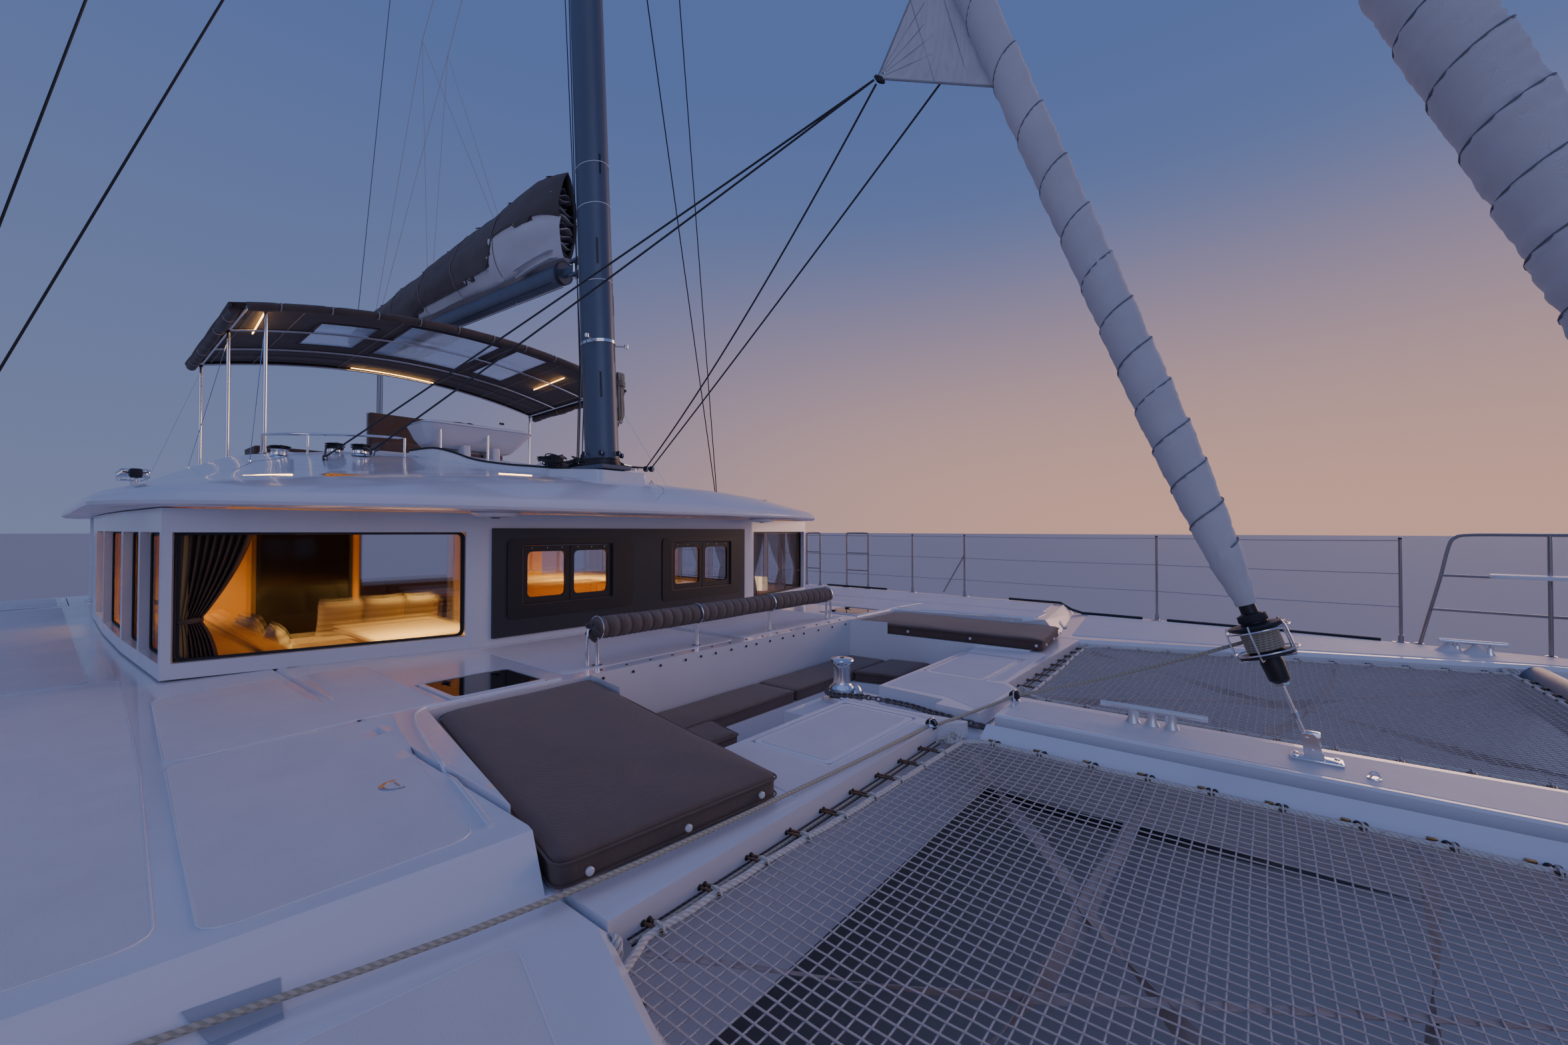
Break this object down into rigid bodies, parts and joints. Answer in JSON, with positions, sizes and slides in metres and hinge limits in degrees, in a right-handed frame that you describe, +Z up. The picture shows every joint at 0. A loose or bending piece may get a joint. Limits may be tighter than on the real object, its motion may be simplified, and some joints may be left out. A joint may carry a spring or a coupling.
{
  "type": "sailing catamaran",
  "caption": "Cruising sailing catamaran afloat, sails furled, with nets, a forward cockpit, a flybridge under a bimini, and a boom, rudders, propellers, lids and a door that move.",
  "frame": {"origin": "on the centreline amidships, at the waterline", "axes": "+X forward, +Y to port, +Z up"},
  "size_m": [17.07, 9.4, 27.8],
  "materials": {
    "gelcoat": "glossy white gelcoat",
    "non_skid": "fine moulded non-skid",
    "engine_paint": "plain grey paint",
    "bronze": "cast bronze",
    "cushion": "woven outdoor fabric",
    "canvas": "acrylic canvas",
    "sailcloth": "sailcloth with a grey cover strip",
    "netting": "braided cord netting",
    "stainless": "polished stainless steel",
    "spar": "grey anodised",
    "dark_panel": "satin dark panel",
    "tinted_glass": "tinted acrylic glass",
    "wood": "satin light wood"
  },
  "bodies": {
    "boat": {"hull_starboard": "gelcoat", "hull_port": "gelcoat", "bridge_deck": "gelcoat", "forward_deck": "gelcoat", "centre_beam": "gelcoat", "cabin_walls": "gelcoat", "roof": "gelcoat", "helm_console": "gelcoat", "engine_starboard": "engine_paint", "engine_port": "engine_paint", "saildrive_starboard": "engine_paint", "saildrive_port": "engine_paint", "forward_cushions": "cushion", "sun_pad_starboard": "cushion", "sun_pad_port": "cushion", "aft_seats": "cushion", "fly_seats": "cushion", "fly_lounge": "cushion", "bimini_canopy": "canvas", "cover_roller": "canvas", "genoa": "sailcloth", "foresail": "sailcloth", "net_starboard": "netting", "net_port": "netting", "windlass_base": "stainless", "genoa_furler": "stainless", "foresail_furler": "stainless", "shrouds_starboard": "stainless", "shrouds_port": "stainless", "bimini_frame": "stainless", "lifelines_starboard": "stainless", "lifelines_port": "stainless", "pulpit_starboard": "stainless", "pulpit_port": "stainless", "mast": "spar", "crossbeam": "spar", "front_panel": "dark_panel", "window_band_starboard": "tinted_glass", "window_band_port": "tinted_glass", "front_window_starboard": "tinted_glass", "front_window_port": "tinted_glass", "saloon_sofa": "wood", "saloon_table": "wood", "galley": "wood", "aft_table": "wood"},
    "boom": {"boom": "spar", "sail_bag": "canvas"},
    "wheel": {"steering_wheel": "stainless"},
    "windlass_drum": {"windlass_drum": "stainless"},
    "saloon_door": {"saloon_door": "tinted_glass"},
    "rudder_starboard": {"rudder_starboard": "gelcoat"},
    "propeller_starboard": {"propeller_starboard": "bronze"},
    "engine_lid_starboard": {"engine_lid_starboard": "non_skid"},
    "locker_lid_starboard": {"locker_lid_starboard": "non_skid"},
    "deck_hatch_starboard": {"deck_hatch_starboard": "tinted_glass"},
    "rudder_port": {"rudder_port": "gelcoat"},
    "propeller_port": {"propeller_port": "bronze"},
    "engine_lid_port": {"engine_lid_port": "non_skid"},
    "locker_lid_port": {"locker_lid_port": "non_skid"},
    "deck_hatch_port": {"deck_hatch_port": "tinted_glass"}
  },
  "joints": [
    {"name": "boom_swing", "type": "hinge", "parent": "boat", "child": "boom", "pos_m": [-0.26, 0, 5.7], "axis": [0, 0, 1], "range_deg": [-55, 55]},
    {"name": "wheel_turn", "type": "hinge", "parent": "boat", "child": "wheel", "pos_m": [-2.235, -0.36, 3.915], "axis": [-0.9553, 0, 0.2955], "range_deg": [-455, 455]},
    {"name": "rudder_turn_starboard", "type": "hinge", "parent": "boat", "child": "rudder_starboard", "pos_m": [-7.42, -3.75, -0.4], "axis": [0, 0, 1], "range_deg": [-35, 35]},
    {"name": "rudder_turn_port", "type": "hinge", "parent": "boat", "child": "rudder_port", "pos_m": [-7.42, 3.75, -0.4], "axis": [0, 0, 1], "range_deg": [-35, 35]},
    {"name": "propeller_spin_starboard", "type": "hinge", "parent": "boat", "child": "propeller_starboard", "pos_m": [-6.36, -3.75, -1.01], "axis": [1, 0, 0], "continuous": true},
    {"name": "propeller_spin_port", "type": "hinge", "parent": "boat", "child": "propeller_port", "pos_m": [-6.36, 3.75, -1.01], "axis": [1, 0, 0], "continuous": true},
    {"name": "windlass_spin", "type": "hinge", "parent": "boat", "child": "windlass_drum", "pos_m": [3.12, -0.06, 1.95], "axis": [0, 0, 1], "continuous": true},
    {"name": "saloon_door_slide", "type": "slide", "parent": "boat", "child": "saloon_door", "axis": [0, 1, 0], "range_m": [0, 1.15]},
    {"name": "engine_lid_hinge_starboard", "type": "hinge", "parent": "boat", "child": "engine_lid_starboard", "pos_m": [-5.905, -4.25, 2.085], "axis": [1, 0, 0], "range_deg": [0, 75]},
    {"name": "locker_lid_hinge_starboard", "type": "hinge", "parent": "boat", "child": "locker_lid_starboard", "pos_m": [3.665, -1.34, 1.95], "axis": [1, 0, 0], "range_deg": [0, 80]},
    {"name": "deck_hatch_hinge_starboard", "type": "hinge", "parent": "boat", "child": "deck_hatch_starboard", "pos_m": [2.182, -1.9175, 2.112], "axis": [0, 1, 0], "range_deg": [0, 90]},
    {"name": "engine_lid_hinge_port", "type": "hinge", "parent": "boat", "child": "engine_lid_port", "pos_m": [-5.905, 4.25, 2.085], "axis": [-1, 0, 0], "range_deg": [0, 75]},
    {"name": "locker_lid_hinge_port", "type": "hinge", "parent": "boat", "child": "locker_lid_port", "pos_m": [3.665, 1.34, 1.95], "axis": [-1, 0, 0], "range_deg": [0, 80]},
    {"name": "deck_hatch_hinge_port", "type": "hinge", "parent": "boat", "child": "deck_hatch_port", "pos_m": [2.182, 1.9175, 2.112], "axis": [0, 1, 0], "range_deg": [0, 90]}
  ],
  "couplings": [
    {"joint": "rudder_turn_port", "follows": "rudder_turn_starboard", "ratio": 1},
    {"joint": "wheel_turn", "follows": "rudder_turn_starboard", "ratio": 12.9}
  ]
}
